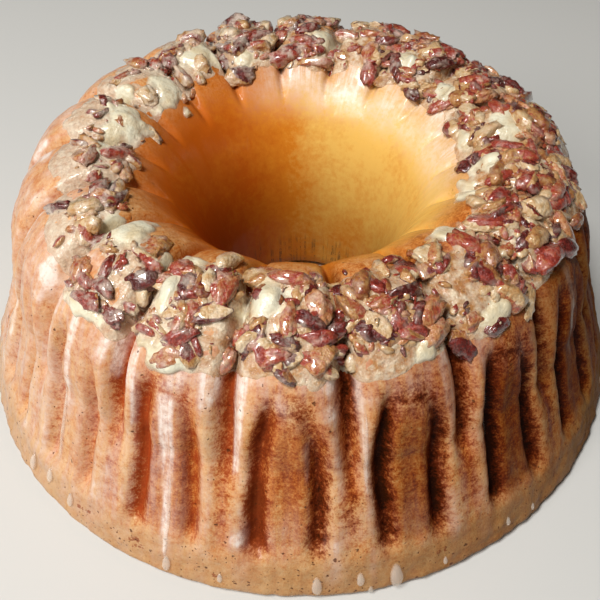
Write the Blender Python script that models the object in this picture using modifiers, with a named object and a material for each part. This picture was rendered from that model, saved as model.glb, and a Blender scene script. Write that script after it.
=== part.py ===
"""Walnut cake: a tall fluted ring cake with an open middle and chopped nuts heaped on its crown."""

import bisect
import math
import random

import bmesh
import bpy
from mathutils import Matrix, Vector

# Driving dimensions of the ring, in metres
BASE_RADIUS = 0.1275
SHOULDER_RADIUS = 0.1104
SHOULDER_HEIGHT = 0.0495
CROWN_RADIUS = 0.0758
CROWN_HEIGHT = 0.0935
HOLE_RADIUS = 0.0300
EDGE_ROUND = 0.003
OUTER_SQUARENESS = 1.88
INNER_SQUARENESS = 2.05

# Flutes round the outside. One lobe's centre is close to the front, which is -Y
FLUTES = 18
FLUTE_PITCH = 2.0 * math.pi / FLUTES
LOBE_ANGLE = math.radians(-92.0)

# Places along the outline, measured from the base up the outer side and over the crown
BAND_TOP = 0.0165
RELIEF_FULL = 0.0255
CLOSING_START = 0.060
LEFT_FADE = 0.070
RIGHT_FADE = 0.056
RECESS_TOP = 0.087
GROOVE_LOW = 0.038
GROOVE_FULL = 0.072
CROWN_FADE = 0.124
RIM_FADE = 0.152

# Depths of the relief
VALLEY_DEPTH = 0.0048
MIDDLE_DEPTH = 0.0017
GROOVE_DEPTH = 0.0060
GROOVE_FOOT_DEPTH = 0.0008
LOBE_ROUNDING = 0.0024
SWELL_HEIGHT = 0.0003

# Places and widths of the relief as angles from a lobe's centre
VALLEY_ANGLE = math.radians(4.6)
VALLEY_TOP_ANGLE = math.radians(2.9)
VALLEY_WIDTH = math.radians(1.45)
MIDDLE_WIDTH = math.radians(3.0)
GROOVE_WIDTH = math.radians(1.6)

# Each swell of the uneven surface: waves round the cake, start angle, turn for each metre of outline
SWELLS = ((3, 0.7, 0.0), (7, 2.1, 40.0))
# Each bend that makes the flutes wander: angle of its reach, waves round the cake, turn for each metre
WANDERS = ((0.0040, 11, 60.0), (0.0035, 23, -95.0), (0.0020, 41, 140.0))

# Chopped nuts on the crown
NUT_ROWS = 6
NUT_FIRST_ARC = 0.091
NUT_LAST_ARC = 0.133
NUT_SPACING = 0.0170
NUT_LENGTHS = (0.0068, 0.0112)
NUT_WIDTHS = (0.0047, 0.0070)
NUT_THICKNESSES = (0.0036, 0.0052)
ROUNDED_NUT_SHARE = 0.65
ROUNDED_NUT_RADIUS = 0.56
BLOCK_NUT_SIDE = 0.8
NUT_ROUGHNESS = 0.13
NUT_LIFTS = (-0.15, 0.06)
NUT_TILT = 0.22
NUT_DRIFT = 0.3
NUT_ARC_DRIFT = 0.0035
# How much nearer to the outer side the innermost row lies at the front, where the hole's rim is bare
FRONT_PULL = 0.0130
# The outer part of the crown has no nuts on one side, to the left and back as seen from the front
BARE_SIDE = math.radians(160.0)
BARE_WIDTH = 0.0200
BARE_SHARES = (0.40, 0.85)
NUT_SEED = 18
# The heap is thickest on the right and thinnest on the left, as seen from the front
THICK_SIDE = math.radians(-15.0)
MEAN_CHANCE = 0.74
CHANCE_SWING = 0.22

# Fineness of the model
COLUMNS = 10 * FLUTES
OUTLINE_STEPS = 120
EDGE_STEPS = 3
CHORD = 0.002
MERGE_DISTANCE = 0.00005
MOST_TRIANGLES = 11200


def clear_scene():
    for obj in list(bpy.data.objects):
        bpy.data.objects.remove(obj, do_unlink=True)


def smooth_step(low, high, value):
    share = min(max((value - low) / (high - low), 0.0), 1.0)
    return share * share * (3.0 - 2.0 * share)


def hump(distance, width):
    return math.exp(-((distance / width) ** 2))


def between(low, high, share):
    return low + (high - low) * share


def spread(first, last, count):
    return [between(first, last, step / (count - 1)) for step in range(count)]


def rounded_quarter(low_radius, high_radius, low_height, high_height, squareness, turn):
    """A point of a quarter oval from its side, at turn 0, to its top."""
    reach = abs(math.cos(turn)) ** (2.0 / squareness)
    rise = abs(math.sin(turn)) ** (2.0 / squareness)
    return between(low_radius, high_radius, reach), between(low_height, high_height, rise)


def outer_side():
    """Radius and height up the rounded edge, the flared side and the dome to the crown."""
    points = []
    for turn in spread(0.0, 0.5 * math.pi, EDGE_STEPS + 1):
        radius = BASE_RADIUS - EDGE_ROUND * (1.0 - math.sin(turn))
        points.append((radius, EDGE_ROUND * (1.0 - math.cos(turn))))
    for share in spread(0.0, 1.0, OUTLINE_STEPS + 1)[1:-1]:
        height = between(EDGE_ROUND, SHOULDER_HEIGHT, share)
        points.append((between(BASE_RADIUS, SHOULDER_RADIUS, share), height))
    for turn in spread(0.0, 0.5 * math.pi, OUTLINE_STEPS + 1):
        points.append(
            rounded_quarter(
                CROWN_RADIUS, SHOULDER_RADIUS, SHOULDER_HEIGHT, CROWN_HEIGHT, OUTER_SQUARENESS, turn
            )
        )
    return points


def inner_side():
    """Radius and height from the crown down the hole to the underside."""
    points = []
    for turn in spread(0.5 * math.pi, 0.0, OUTLINE_STEPS + 1)[1:]:
        point = rounded_quarter(CROWN_RADIUS, HOLE_RADIUS, 0.0, CROWN_HEIGHT, INNER_SQUARENESS, turn)
        if point[1] > EDGE_ROUND:
            points.append(point)
    return points + [(HOLE_RADIUS, EDGE_ROUND), (HOLE_RADIUS + EDGE_ROUND, 0.0)]


class Outline:
    """The ring's section as a line that is read by its length from the base."""

    def __init__(self):
        self.points = outer_side() + inner_side()
        self.arcs = [0.0]
        for first, second in zip(self.points, self.points[1:]):
            self.arcs.append(self.arcs[-1] + math.dist(first, second))
        self.length = self.arcs[-1]

    def at(self, arc):
        after = min(max(bisect.bisect_right(self.arcs, arc), 1), len(self.arcs) - 1)
        share = (arc - self.arcs[after - 1]) / (self.arcs[after] - self.arcs[after - 1])
        share = min(max(share, 0.0), 1.0)
        first, second = self.points[after - 1], self.points[after]
        return between(first[0], second[0], share), between(first[1], second[1], share)

    def normal(self, arc):
        """The direction out of the cake, square to a short chord."""
        before = self.at(arc - 0.5 * CHORD)
        after = self.at(arc + 0.5 * CHORD)
        size = math.dist(before, after)
        return (after[1] - before[1]) / size, (before[0] - after[0]) / size


def lobe_offset(angle, arc):
    """The angle from the nearest lobe's centre, with its sign, along flutes that wander a little."""
    wandered = angle + sum(reach * math.sin(waves * angle + turn * arc) for reach, waves, turn in WANDERS)
    turns = (wandered - LOBE_ANGLE) / FLUTE_PITCH
    return (turns - round(turns)) * FLUTE_PITCH


def relief(angle, arc):
    """How far the surface lies outside the plain turned outline, in metres."""
    signed_offset = lobe_offset(angle, arc)
    offset = abs(signed_offset)
    to_groove = 0.5 * FLUTE_PITCH - offset

    above_band = smooth_step(BAND_TOP, RELIEF_FULL, arc)
    outside_hole = 1.0 - smooth_step(CROWN_FADE, RIM_FADE, arc)
    recess_fade = between(LEFT_FADE, RIGHT_FADE, smooth_step(-VALLEY_ANGLE, VALLEY_ANGLE, signed_offset))
    in_recess = above_band * (1.0 - smooth_step(recess_fade, RECESS_TOP, arc))
    on_crown = smooth_step(GROOVE_LOW, GROOVE_FULL, arc) * outside_hole
    closing = smooth_step(CLOSING_START, RECESS_TOP, arc)
    valley_at = between(VALLEY_ANGLE, VALLEY_TOP_ANGLE, closing)

    depth = VALLEY_DEPTH * hump(offset - valley_at, VALLEY_WIDTH) * in_recess
    depth += MIDDLE_DEPTH * hump(offset, MIDDLE_WIDTH) * in_recess
    depth += GROOVE_DEPTH * hump(to_groove, GROOVE_WIDTH) * on_crown
    depth += GROOVE_FOOT_DEPTH * hump(to_groove, GROOVE_WIDTH) * above_band * (outside_hole - on_crown)
    depth += LOBE_ROUNDING * (2.0 * offset / FLUTE_PITCH) ** 2 * on_crown

    swell = sum(math.sin(waves * angle + start + turn * arc) for waves, start, turn in SWELLS)
    return SWELL_HEIGHT * swell * above_band * outside_hole - depth


def surface_point(outline, angle, arc, lift=0.0):
    """A point on the fluted surface, or lifted off it, and the direction out of the cake there."""
    radius, height = outline.at(arc)
    out, up = outline.normal(arc)
    shift = relief(angle, arc) + lift
    radius += out * shift
    height += up * shift
    point = Vector((radius * math.cos(angle), radius * math.sin(angle), height))
    return point, Vector((out * math.cos(angle), out * math.sin(angle), up))


def row_arcs(outline):
    """Where the rows of points lie: close together over the flutes, wide apart in the plain hole."""
    edge = [0.0] + outline.arcs[EDGE_STEPS - 1 : EDGE_STEPS + 1]
    band = [BAND_TOP, between(BAND_TOP, RELIEF_FULL, 0.5)]
    recess = spread(RELIEF_FULL, RECESS_TOP, 8)
    crown = spread(RECESS_TOP, RIM_FADE, 11)[1:]
    hole = spread(RIM_FADE, outline.arcs[-2], 3)[1:]
    return edge + band + recess + crown + hole + [outline.length]


def apply_modifier(obj, modifier):
    bpy.ops.object.select_all(action="DESELECT")
    obj.select_set(True)
    bpy.context.view_layer.objects.active = obj
    bpy.ops.object.modifier_apply(modifier=modifier.name)


def turned_ring(outline, arcs, collection):
    """The plain ring, turned from its section, which runs from the underside over to the base's edge."""
    section = [outline.at(arc) for arc in reversed(arcs)]
    corners = len(section)
    mesh = bpy.data.meshes.new("cake")
    mesh.from_pydata(
        [(radius, 0.0, height) for radius, height in section],
        [(index, (index + 1) % corners) for index in range(corners)],
        [],
    )
    ring = bpy.data.objects.new("cake", mesh)
    collection.objects.link(ring)
    turn = ring.modifiers.new("turn", "SCREW")
    turn.axis = "Z"
    turn.angle = 2.0 * math.pi
    turn.steps = COLUMNS
    turn.render_steps = COLUMNS
    turn.use_merge_vertices = True
    turn.merge_threshold = MERGE_DISTANCE
    apply_modifier(ring, turn)
    return ring


def press_flutes(ring, outline, arcs):
    """Moves each point of the plain ring out or in by the relief at its place."""
    rows = [(outline.at(arc), arc) for arc in arcs]
    for vertex in ring.data.vertices:
        place = (math.hypot(vertex.co.x, vertex.co.y), vertex.co.z)
        arc = min(rows, key=lambda row: math.dist(row[0], place))[1]
        if BAND_TOP < arc < RIM_FADE:
            angle = math.atan2(vertex.co.y, vertex.co.x)
            vertex.co = surface_point(outline, angle, arc)[0]


def nut_mesh(draw):
    """One chopped piece and its thickness: a rounded lump or a cut block, with its corners moved about."""
    shape = bmesh.new()
    if draw.random() < ROUNDED_NUT_SHARE:
        bmesh.ops.create_icosphere(shape, subdivisions=1, radius=ROUNDED_NUT_RADIUS)
    else:
        bmesh.ops.create_cube(shape, size=BLOCK_NUT_SIDE)
    for vertex in shape.verts:
        vertex.co += NUT_ROUGHNESS * Vector([draw.uniform(-1.0, 1.0) for _ in range(3)])
    size = [draw.uniform(*limits) for limits in (NUT_LENGTHS, NUT_WIDTHS, NUT_THICKNESSES)]
    bmesh.ops.scale(shape, vec=size, verts=shape.verts)
    bmesh.ops.triangulate(shape, faces=shape.faces)
    bmesh.ops.recalc_face_normals(shape, faces=shape.faces)
    mesh = bpy.data.meshes.new("nut")
    shape.to_mesh(mesh)
    shape.free()
    return mesh, size[2]


def scatter_nuts(outline, collection):
    """Rows of pieces round the crown, turned and shifted by seeded draws."""
    draw = random.Random(NUT_SEED)
    for row, row_arc in enumerate(spread(NUT_FIRST_ARC, NUT_LAST_ARC, NUT_ROWS)):
        count = int(2.0 * math.pi * outline.at(row_arc)[0] / NUT_SPACING)
        for place in range(count):
            stagger = 0.5 * (row % 2) + draw.uniform(-NUT_DRIFT, NUT_DRIFT)
            angle = 2.0 * math.pi * (place + stagger) / count
            pull = FRONT_PULL * row / (NUT_ROWS - 1) * smooth_step(0.0, 0.8, -math.sin(angle))
            arc = row_arc - pull + draw.uniform(-NUT_ARC_DRIFT, NUT_ARC_DRIFT)
            bare = BARE_WIDTH * smooth_step(*BARE_SHARES, math.cos(angle - BARE_SIDE))
            chance = MEAN_CHANCE + CHANCE_SWING * math.cos(angle - THICK_SIDE)
            if draw.random() > chance or arc < NUT_FIRST_ARC - NUT_ARC_DRIFT + bare:
                continue
            mesh, thickness = nut_mesh(draw)
            point, out = surface_point(outline, angle, arc, thickness * draw.uniform(*NUT_LIFTS))
            upright = out.to_track_quat("Z", "Y").to_matrix().to_4x4()
            spin = Matrix.Rotation(draw.uniform(0.0, math.pi), 4, "Z")
            tilt = Matrix.Rotation(draw.uniform(-NUT_TILT, NUT_TILT), 4, "X")
            nut = bpy.data.objects.new("nut", mesh)
            nut.matrix_world = Matrix.Translation(point) @ upright @ spin @ tilt
            collection.objects.link(nut)


def fuse_nuts(ring, nuts):
    """Joins the nuts to the ring as one solid, then removes them."""
    fuse = ring.modifiers.new("fuse", "BOOLEAN")
    fuse.operation = "UNION"
    fuse.operand_type = "COLLECTION"
    fuse.collection = nuts
    fuse.solver = "MANIFOLD"
    apply_modifier(ring, fuse)
    for nut in list(nuts.objects):
        bpy.data.objects.remove(nut, do_unlink=True)
    bpy.data.collections.remove(nuts)


def linked_points(first):
    """Every point that edges join to this one."""
    found = {first}
    waiting = [first]
    while waiting:
        vertex = waiting.pop()
        for edge in vertex.link_edges:
            other = edge.other_vert(vertex)
            if other not in found:
                found.add(other)
                waiting.append(other)
    return found


def keep_largest_shell(ring):
    """Fills sealed hollows and drops loose scraps, which are the smaller shells of the mesh."""
    shape = bmesh.new()
    shape.from_mesh(ring.data)
    largest = set()
    seen = set()
    for vertex in shape.verts:
        if vertex not in seen:
            shell = linked_points(vertex)
            seen |= shell
            largest = max(largest, shell, key=len)
    loose = [vertex for vertex in shape.verts if vertex not in largest]
    bmesh.ops.delete(shape, geom=loose, context="VERTS")
    bmesh.ops.triangulate(shape, faces=shape.faces)
    shape.to_mesh(ring.data)
    shape.free()


def thin_out(ring):
    """Collapses the slivers that the joining left, and faces that flat and plain parts don't need."""
    thin = ring.modifiers.new("thin", "DECIMATE")
    thin.decimate_type = "COLLAPSE"
    thin.ratio = MOST_TRIANGLES / len(ring.data.polygons)
    apply_modifier(ring, thin)


def crust_material():
    material = bpy.data.materials.new("baked_crust")
    material.use_nodes = True
    shader = material.node_tree.nodes["Principled BSDF"]
    shader.inputs["Base Color"].default_value = (0.47, 0.22, 0.09, 1.0)
    shader.inputs["Roughness"].default_value = 0.42
    shader.inputs["Metallic"].default_value = 0.0
    return material


def main():
    clear_scene()
    parts = bpy.data.collections.new("walnut_cake")
    nuts = bpy.data.collections.new("chopped_nuts")
    bpy.context.scene.collection.children.link(parts)
    bpy.context.scene.collection.children.link(nuts)

    outline = Outline()
    arcs = row_arcs(outline)
    ring = turned_ring(outline, arcs, parts)
    press_flutes(ring, outline, arcs)
    scatter_nuts(outline, nuts)
    fuse_nuts(ring, nuts)
    keep_largest_shell(ring)
    thin_out(ring)

    ring.data.materials.clear()
    ring.data.materials.append(crust_material())
    ring.data.shade_smooth()
    ring.data.set_sharp_from_angle(angle=math.radians(40.0))


main()
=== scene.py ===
"""The look of a walnut ring cake: a baked fluted ring, chopped nuts, and glaze that pooled and ran."""

import math
import random

import bmesh
import bpy
import numpy as np
from mathutils import Matrix, Vector, noise


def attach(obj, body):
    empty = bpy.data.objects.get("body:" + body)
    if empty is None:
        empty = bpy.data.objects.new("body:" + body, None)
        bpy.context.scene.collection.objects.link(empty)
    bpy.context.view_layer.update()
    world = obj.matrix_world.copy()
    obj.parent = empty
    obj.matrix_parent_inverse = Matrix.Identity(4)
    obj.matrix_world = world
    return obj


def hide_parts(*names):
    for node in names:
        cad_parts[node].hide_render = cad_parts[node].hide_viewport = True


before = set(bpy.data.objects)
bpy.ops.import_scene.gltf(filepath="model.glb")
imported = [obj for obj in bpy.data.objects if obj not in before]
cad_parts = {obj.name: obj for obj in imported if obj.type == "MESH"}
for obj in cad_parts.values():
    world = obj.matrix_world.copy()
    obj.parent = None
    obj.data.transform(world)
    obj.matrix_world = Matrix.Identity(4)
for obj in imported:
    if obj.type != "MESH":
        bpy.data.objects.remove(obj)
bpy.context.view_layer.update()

# The ring's driving dimensions, in metres, as in the solid
BASE_RADIUS = 0.1275
SHOULDER_RADIUS = 0.1104
SHOULDER_HEIGHT = 0.0495
CROWN_RADIUS = 0.0758
CROWN_HEIGHT = 0.0935
HOLE_RADIUS = 0.0300
EDGE_ROUND = 0.003
OUTER_SQUARENESS = 1.88
INNER_SQUARENESS = 2.05

FLUTES = 18
FLUTE_PITCH = 2.0 * math.pi / FLUTES
LOBE_ANGLE = math.radians(-92.0)
FRONT = math.radians(-90.0)

# Places along the outline, measured from the base up the outer side and over the crown
BAND_TOP = 0.0165
RELIEF_FULL = 0.0255
CLOSING_START = 0.060
RECESS_TOP = 0.087
LEFT_FADE = 0.070
RIGHT_FADE = 0.056
GROOVE_LOW = 0.038
GROOVE_FULL = 0.072
CROWN_FADE = 0.124
RIM_FADE = 0.152

# Depths of the relief
VALLEY_DEPTH = 0.0048
MIDDLE_DEPTH = 0.0017
GROOVE_DEPTH = 0.0060
GROOVE_FOOT_DEPTH = 0.0008
LOBE_ROUNDING = 0.0024
SWELL_HEIGHT = 0.0003
SWELLS = ((3, 0.7, 0.0), (7, 2.1, 40.0))

# Places and widths of the relief as angles from a lobe's centre, and how far the flutes wander
VALLEY_ANGLE = math.radians(4.6)
VALLEY_TOP_ANGLE = math.radians(2.9)
VALLEY_WIDTH = math.radians(1.45)
MIDDLE_WIDTH = math.radians(3.0)
GROOVE_WIDTH = math.radians(1.6)
RIB_ANGLE = math.radians(7.3)
RIB_WIDTH = math.radians(1.5)
STRIPE_REACH = math.radians(2.9)
WANDERS = ((0.0040, 11, 60.0), (0.0035, 23, -95.0), (0.0020, 41, 140.0))
# Angles from a lobe's centre between which the inside of its recess ends
RECESS_SIDE = (math.radians(5.2), math.radians(7.2))

# The larger chopped nuts, in the solid's own places
NUT_ROWS = 6
NUT_FIRST_ARC = 0.091
NUT_LAST_ARC = 0.133
NUT_SPACING = 0.0170
NUT_LENGTHS = (0.0068, 0.0112)
NUT_WIDTHS = (0.0047, 0.0070)
NUT_THICKNESSES = (0.0036, 0.0052)
ROUNDED_NUT_SHARE = 0.65
ROUNDED_NUT_RADIUS = 0.56
BLOCK_NUT_SIDE = 0.8
NUT_ROUGHNESS = 0.13
NUT_LIFTS = (-0.15, 0.06)
NUT_TILT = 0.22
NUT_DRIFT = 0.3
NUT_ARC_DRIFT = 0.0035
# How much nearer to the outer side the innermost row lies at the front, where the hole's rim is bare
FRONT_PULL = 0.0130
# The outer part of the crown has no nuts on one side, to the left and back as seen from the front
BARE_SIDE = math.radians(160.0)
BARE_WIDTH = 0.0200
BARE_SHARES = (0.40, 0.85)
NUT_SEED = 18
# The heap is thickest on the right and thinnest on the left, as seen from the front
THICK_SIDE = math.radians(-15.0)
MEAN_CHANCE = 0.74
CHANCE_SWING = 0.22

# The smaller pieces that fill the heap
CHUNK_COUNT = 330
CHUNK_LENGTHS = (0.0050, 0.0092)
CHIP_COUNT = 760
CHIP_LENGTHS = (0.0024, 0.0050)
CRUMB_COUNT = 1000
CRUMB_LENGTHS = (0.0009, 0.0021)
HEAP_FIRST_ARC = 0.084
HEAP_LAST_ARC = 0.143
HEAP_OUTER_EDGE = 0.089
HEAP_INNER_EDGE = 0.134
# Limits of a small piece's length, width and thickness, as shares of the length that it is given
SMALL_PIECE_SHAPE = ((1.0, 1.5), (0.52, 0.82), (0.42, 0.68))
SEED = 7

# The coat of glaze: where it begins and ends, how far it sinks where there is none, and its underside
GLAZE_OUTER_EDGE = 0.083
GLAZE_INNER_EDGE = 0.137
GLAZE_TOP_ARCS = (0.079, 0.145)
GLAZE_TOP_ROWS = 76
GLAZE_UNDER_ARCS = (0.144, 0.080)
GLAZE_UNDER_ROWS = 8
GLAZE_COLUMNS = 760
GLAZE_SUNK = -0.0010
GLAZE_UNDERSIDE = -0.0024
RUN_THICKNESS = 0.0005
# A bead's width, length and thickness for each unit of the width in its table
BEAD_SHAPE = (1.05, 2.3, 0.36)

COLUMNS = 34 * FLUTES
OUTLINE_STEPS = 120
EDGE_STEPS = 3
CHORD = 0.002


def front_angle(degrees):
    """An angle in the cake's frame from degrees counted to the right from the side that faces the camera."""
    return FRONT + math.radians(degrees)


def between(low, high, share):
    return low + (high - low) * share


def smooth_step(low, high, value):
    share = np.clip((value - low) / (high - low), 0.0, 1.0)
    return share * share * (3.0 - 2.0 * share)


def hump(distance, width):
    return np.exp(-((distance / width) ** 2))


def rounded_quarter(low_radius, high_radius, low_height, high_height, squareness, turn):
    """Points of a quarter oval from its side, at turn 0, to its top."""
    reach = np.abs(np.cos(turn)) ** (2.0 / squareness)
    rise = np.abs(np.sin(turn)) ** (2.0 / squareness)
    return np.stack([between(low_radius, high_radius, reach), between(low_height, high_height, rise)], 1)


def section_points():
    """Radius and height from the underside's edge up the flared side, over the crown and down the hole."""
    quarter = np.linspace(0.0, 0.5 * math.pi, EDGE_STEPS + 1)
    edge = np.stack(
        [BASE_RADIUS - EDGE_ROUND * (1.0 - np.sin(quarter)), EDGE_ROUND * (1.0 - np.cos(quarter))], 1
    )
    share = np.linspace(0.0, 1.0, OUTLINE_STEPS + 1)[1:-1]
    side = np.stack(
        [between(BASE_RADIUS, SHOULDER_RADIUS, share), between(EDGE_ROUND, SHOULDER_HEIGHT, share)], 1
    )
    turn = np.linspace(0.0, 0.5 * math.pi, OUTLINE_STEPS + 1)
    dome = rounded_quarter(
        CROWN_RADIUS, SHOULDER_RADIUS, SHOULDER_HEIGHT, CROWN_HEIGHT, OUTER_SQUARENESS, turn
    )
    wall = rounded_quarter(CROWN_RADIUS, HOLE_RADIUS, 0.0, CROWN_HEIGHT, INNER_SQUARENESS, turn[::-1][1:])
    wall = wall[wall[:, 1] > EDGE_ROUND]
    foot = np.array([(HOLE_RADIUS, EDGE_ROUND), (HOLE_RADIUS + EDGE_ROUND, 0.0)])
    return np.concatenate([edge, side, dome, wall, foot])


SECTION = section_points()
SECTION_ARCS = np.concatenate([[0.0], np.cumsum(np.hypot(*np.diff(SECTION, axis=0).T))])
OUTLINE_LENGTH = float(SECTION_ARCS[-1])


def outline_at(arc):
    """Radius and height at a length along the outline."""
    return np.interp(arc, SECTION_ARCS, SECTION[:, 0]), np.interp(arc, SECTION_ARCS, SECTION[:, 1])


def outline_normal(arc):
    """The direction out of the cake, square to a short chord."""
    radius_before, height_before = outline_at(arc - 0.5 * CHORD)
    radius_after, height_after = outline_at(arc + 0.5 * CHORD)
    size = np.hypot(radius_after - radius_before, height_after - height_before)
    return (height_after - height_before) / size, (radius_before - radius_after) / size


def lobe_offset(angle, arc):
    """The angle from the nearest lobe's centre, with its sign, along flutes that wander a little."""
    wandered = angle + sum(reach * np.sin(waves * angle + turn * arc) for reach, waves, turn in WANDERS)
    turns = (wandered - LOBE_ANGLE) / FLUTE_PITCH
    return (turns - np.round(turns)) * FLUTE_PITCH


def recess_share(offset, arc):
    """1 inside a lobe's recess and 0 outside; its left side reaches higher than its right."""
    above_band = smooth_step(BAND_TOP, RELIEF_FULL, arc)
    to_right = smooth_step(-VALLEY_ANGLE, VALLEY_ANGLE, offset)
    fade = between(LEFT_FADE, RIGHT_FADE, to_right)
    return above_band * (1.0 - smooth_step(fade, RECESS_TOP, arc))


def valley_share(offset, arc):
    """1 in the two valleys of each lobe's recess and 0 outside them."""
    closing = smooth_step(CLOSING_START, RECESS_TOP, arc)
    valley_at = between(VALLEY_ANGLE, VALLEY_TOP_ANGLE, closing)
    return hump(np.abs(offset) - valley_at, VALLEY_WIDTH) * recess_share(offset, arc)


def inside_share(offset, arc):
    """1 inside a lobe's recess between its ribs and 0 outside."""
    return (1.0 - smooth_step(*RECESS_SIDE, np.abs(offset))) * recess_share(offset, arc)


def crown_share(arc):
    return smooth_step(GROOVE_LOW, GROOVE_FULL, arc) * (1.0 - smooth_step(CROWN_FADE, RIM_FADE, arc))


def groove_share(offset):
    return hump(0.5 * FLUTE_PITCH - np.abs(offset), GROOVE_WIDTH)


def low_share(arc):
    """1 on the side between the plain band and the grooves' deep part."""
    return smooth_step(BAND_TOP + 0.004, 0.036, arc) * (1.0 - crown_share(arc))


def relief(angle, arc):
    """How far the surface lies outside the plain turned outline, in metres, as in the solid."""
    offset = lobe_offset(angle, arc)
    above_band = smooth_step(BAND_TOP, RELIEF_FULL, arc)
    outside_hole = 1.0 - smooth_step(CROWN_FADE, RIM_FADE, arc)
    on_crown = crown_share(arc)
    depth = VALLEY_DEPTH * valley_share(offset, arc)
    depth = depth + MIDDLE_DEPTH * hump(offset, MIDDLE_WIDTH) * recess_share(offset, arc)
    depth = depth + GROOVE_DEPTH * groove_share(offset) * on_crown
    depth = depth + GROOVE_FOOT_DEPTH * groove_share(offset) * above_band * (outside_hole - on_crown)
    depth = depth + LOBE_ROUNDING * (2.0 * offset / FLUTE_PITCH) ** 2 * on_crown
    swell = sum(np.sin(waves * angle + start + turn * arc) for waves, start, turn in SWELLS)
    return SWELL_HEIGHT * swell * above_band * outside_hole - depth


def surface(angle, arc, lift=0.0):
    """Points on the fluted surface, or lifted off it, and the directions out of the cake there."""
    radius, height = outline_at(arc)
    out, up = outline_normal(arc)
    shift = relief(angle, arc) + lift
    radius = radius + out * shift
    height = height + up * shift
    points = np.stack([radius * np.cos(angle), radius * np.sin(angle), height], -1)
    normals = np.stack([out * np.cos(angle), out * np.sin(angle), up * np.ones_like(angle)], -1)
    return points, normals


def lumps(points, size, seed):
    """Smooth noise from about -1 to 1 at these points, for lumps of this size."""
    shift = Vector((seed * 3.17, seed * 1.93, seed * 2.71))
    return np.array([noise.noise(Vector(point) / size + shift) for point in points])


def mesh_array(mesh, name, width):
    values = np.empty(len(mesh.vertices) * width, np.float32)
    mesh.vertices.foreach_get(name, values)
    return values.reshape(-1, width).astype(float)


def set_points(mesh, points):
    mesh.vertices.foreach_set("co", np.asarray(points, np.float32).ravel())
    mesh.update()


def add_attribute(mesh, name, values):
    """A number or, for three columns, a vector at each point, for the materials to read."""
    values = np.asarray(values, np.float32)
    if values.ndim == 1:
        mesh.attributes.new(name, "FLOAT", "POINT").data.foreach_set("value", values)
    else:
        mesh.attributes.new(name, "FLOAT_VECTOR", "POINT").data.foreach_set("vector", values.ravel())


def edit_all(obj):
    bpy.ops.object.select_all(action="DESELECT")
    obj.select_set(True)
    bpy.context.view_layer.objects.active = obj
    bpy.ops.object.mode_set(mode="EDIT")
    bpy.ops.mesh.select_all(action="SELECT")


def finish_piece(obj, name, materials):
    """Names a piece, gives it its materials and rides it on the cake's one body."""
    obj.name = name
    obj.data.name = name
    for material in materials:
        obj.data.materials.append(material)
    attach(obj, "root")
    return obj


# Baked ring

def spun_ring(loop, steps):
    """A closed loop of radius and height spun round; gives the piece and each point's place in the loop."""
    bpy.ops.object.select_all(action="DESELECT")
    bpy.ops.mesh.primitive_circle_add(vertices=len(loop), radius=BASE_RADIUS)
    ring = bpy.context.active_object
    set_points(ring.data, np.stack([loop[:, 0], np.zeros(len(loop)), loop[:, 1]], 1))
    add_attribute(ring.data, "row", np.arange(len(loop)))
    edit_all(ring)
    bpy.ops.mesh.spin(steps=steps, angle=2.0 * math.pi, center=(0.0, 0.0, 0.0), axis=(0.0, 0.0, 1.0))
    bpy.ops.mesh.select_all(action="SELECT")
    bpy.ops.mesh.remove_doubles(threshold=0.00001)
    bpy.ops.mesh.normals_make_consistent(inside=False)
    bpy.ops.mesh.faces_shade_smooth()
    bpy.ops.object.mode_set(mode="OBJECT")
    row = np.empty(len(ring.data.vertices), np.float32)
    ring.data.attributes["row"].data.foreach_get("value", row)
    ring.data.attributes.remove(ring.data.attributes["row"])
    points = mesh_array(ring.data, "co", 3)
    return ring, points, np.arctan2(points[:, 1], points[:, 0]), np.round(row).astype(int)


def row_arcs():
    """Rows of points on the section: fine over the relief, coarser down the plain hole."""
    edge = np.array([0.0, *SECTION_ARCS[1 : EDGE_STEPS + 1]])
    side = np.arange(edge[-1] + 0.0014, RIM_FADE + 0.006, 0.00122)
    hole = np.linspace(side[-1] + 0.003, SECTION_ARCS[-2], 17)
    return np.concatenate([edge, side, hole, [OUTLINE_LENGTH]])


def fine_relief(points, arc):
    """Crumb-sized unevenness that the mould and the oven left, in metres."""
    in_hole = smooth_step(CROWN_FADE, RIM_FADE, arc)
    above_edge = smooth_step(0.0, 0.006, arc)
    band = above_edge * (1.0 - smooth_step(BAND_TOP, RELIEF_FULL, arc))
    broad = lumps(points, 0.011, 1)
    middle = lumps(points, 0.0045, 2)
    small = lumps(points, 0.0021, 3)
    height = (1.0 - in_hole) * above_edge * (0.00030 * broad + 0.00028 * middle + 0.00016 * small)
    height += band * (0.00035 * middle + 0.00018 * small - 0.00025)
    return height + in_hole * (0.00015 * broad + 0.00006 * middle)


def browning(points, angle, arc):
    """How deeply the crust is browned, from 0, pale, to 1, dark, with painted shade that browns the right
    side.
    """
    offset = lobe_offset(angle, arc)
    inside = inside_share(offset, arc)
    groove = groove_share(offset) * crown_share(arc)
    groove_foot = groove_share(offset) * low_share(arc)
    rib = hump(np.abs(offset) - RIB_ANGLE, RIB_WIDTH) * recess_share(offset, arc)
    band = 1.0 - smooth_step(BAND_TOP, RELIEF_FULL + 0.002, arc)
    # Painted shade: the crust is browner towards the right, the side turned away from the light.
    painted_shade_right = 0.12 * smooth_step(0.2, 0.9, np.cos(angle - front_angle(70.0)))
    hollows = 0.22 * valley_share(offset, arc) + 0.24 * groove + 0.14 * groove_foot
    pale = pale_side(angle)
    brown = 0.38 + 0.14 * inside * (1.0 - pale) - 0.10 * pale + hollows * (1.0 - 0.6 * pale)
    brown += painted_shade_right - 0.20 * rib - 0.16 * band
    return np.clip(brown + 0.12 * lumps(points, 0.018, 5) + 0.10 * lumps(points, 0.005, 6), 0.0, 1.0)


def pale_side(angle):
    """1 on the left and 0 elsewhere: there the crust and its darker hollows are paler, partly for the dried
    glaze over them and partly as painted light on the lit side.
    """
    return smooth_step(0.52, 0.66, np.cos(angle - front_angle(-90.0)))


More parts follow.
